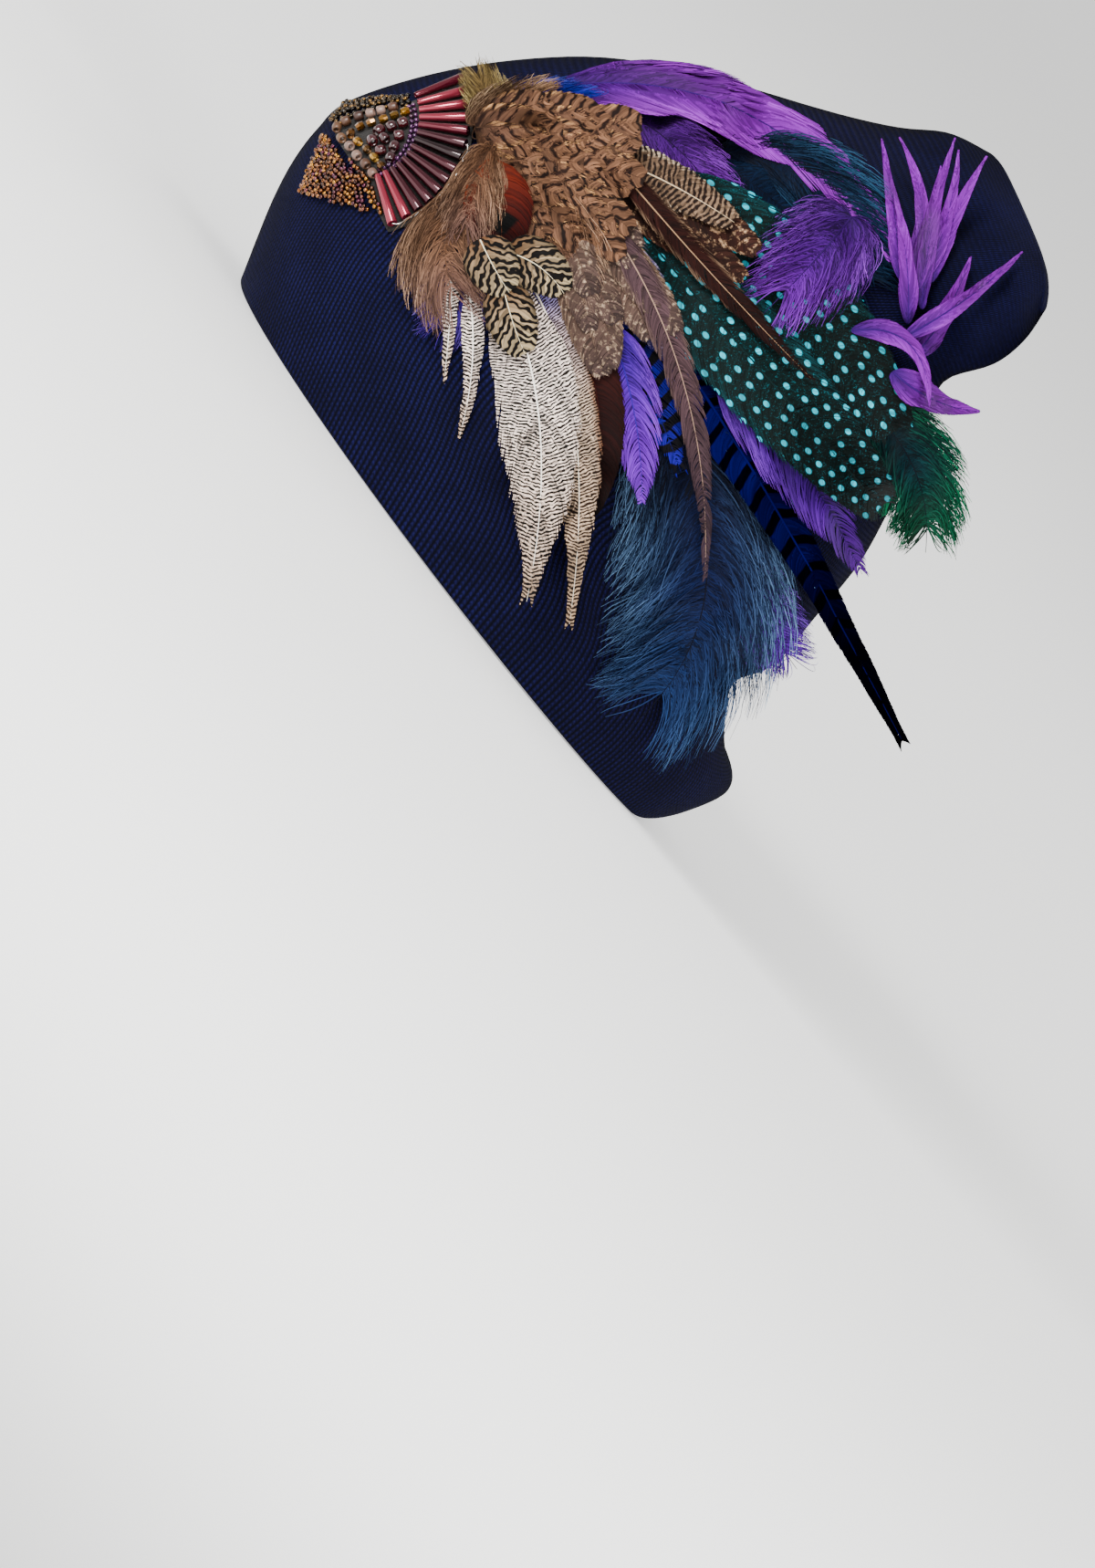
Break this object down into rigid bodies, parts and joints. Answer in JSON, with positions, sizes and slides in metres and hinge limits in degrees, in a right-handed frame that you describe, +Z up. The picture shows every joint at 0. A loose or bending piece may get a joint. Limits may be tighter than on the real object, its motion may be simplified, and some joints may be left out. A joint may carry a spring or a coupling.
{
  "type": "flapper hat",
  "caption": "Close navy knitted cap with a ridged crown and low nape, a beaded fan at the brow and a sweep of dyed and natural feathers over one side.",
  "frame": {"origin": "middle of the head opening, in the plane that the rim rests on", "axes": "+Z up out of the crown; -Y towards the wearer's front; +X towards the wearer's left, the feathered side"},
  "size_m": [0.1941, 0.2542, 0.1987],
  "materials": {
    "navy_knit": "fine ribbed wool-like knit, matt",
    "felt": "matt felt",
    "seed_gold": "lustred seed beads, opaque",
    "seed_bronze": "lustred seed beads, opaque",
    "frosted_glass": "frosted, pale mauve",
    "gold_glass": "faceted, gold-lined",
    "garnet_glass": "glossy dark garnet",
    "bugle_glass": "glossy rose tubes",
    "feather_purple": "soft feather, slight sheen",
    "feather_navy": "soft feather, slight sheen",
    "feather_green": "soft feather, slight sheen",
    "feather_blue": "soft feather, slight sheen",
    "feather_guinea": "soft feather, slight sheen",
    "feather_magenta": "soft feather, slight sheen",
    "feather_mahogany": "soft feather, slight sheen",
    "feather_mallard": "soft feather, slight sheen",
    "feather_buff": "soft feather, slight sheen",
    "feather_grey_violet": "soft feather, slight sheen",
    "feather_olive": "soft feather, slight sheen",
    "feather_brown": "soft feather, slight sheen",
    "feather_rust": "soft feather, slight sheen"
  },
  "bodies": {
    "root": {"knit_cap": "navy_knit", "bead_backing": "felt", "seed_field_upper": "seed_gold", "seed_field_lower": "seed_bronze", "frosted_beads": "frosted_glass", "gold_beads": "gold_glass", "garnet_beads": "garnet_glass", "bugle_01": "bugle_glass", "bugle_02": "bugle_glass", "bugle_03": "bugle_glass", "bugle_04": "bugle_glass", "bugle_05": "bugle_glass", "bugle_06": "bugle_glass", "bugle_07": "bugle_glass", "bugle_08": "bugle_glass", "bugle_09": "bugle_glass", "bugle_10": "bugle_glass", "bugle_11": "bugle_glass", "bugle_12": "bugle_glass", "bugle_13": "bugle_glass", "bugle_14": "bugle_glass", "ostrich_tail_purple": "feather_purple", "ostrich_plume_navy": "feather_navy", "ostrich_plume_green": "feather_green", "ostrich_navy_upper": "feather_navy", "pheasant_tail_blue": "feather_blue", "hackle_purple_right": "feather_purple", "marabou_purple_top": "feather_purple", "guinea_teal_wide": "feather_guinea", "hackle_violet_barred": "feather_blue", "goose_purple_crest": "feather_magenta", "guinea_teal_long": "feather_guinea", "hackle_purple_left": "feather_purple", "marabou_purple_sweep": "feather_purple", "goose_purple_leaf": "feather_magenta", "pheasant_mahogany": "feather_mahogany", "goose_purple_spikes": "feather_magenta", "mallard_second": "feather_mallard", "marabou_purple_edge": "feather_purple", "pheasant_brown_dark": "feather_mahogany", "goose_purple_spray": "feather_magenta", "mallard_large": "feather_mallard", "mallard_small": "feather_mallard", "pheasant_speckled_buff": "feather_buff", "grey_violet_hackle": "feather_grey_violet", "tuft_blue": "feather_blue", "tuft_olive": "feather_olive", "goose_purple_curl_up": "feather_magenta", "mallard_narrow": "feather_mallard", "hackle_mahogany": "feather_mahogany", "pheasant_speckled_mid": "feather_brown", "goose_purple_curl_down": "feather_magenta", "hackle_brown_droop": "feather_brown", "tuft_brown_top": "feather_brown", "marabou_brown_lower": "feather_brown", "pheasant_body_barred": "feather_brown", "heart_rust": "feather_rust", "partridge_barred": "feather_buff"}
  },
  "joints": []
}
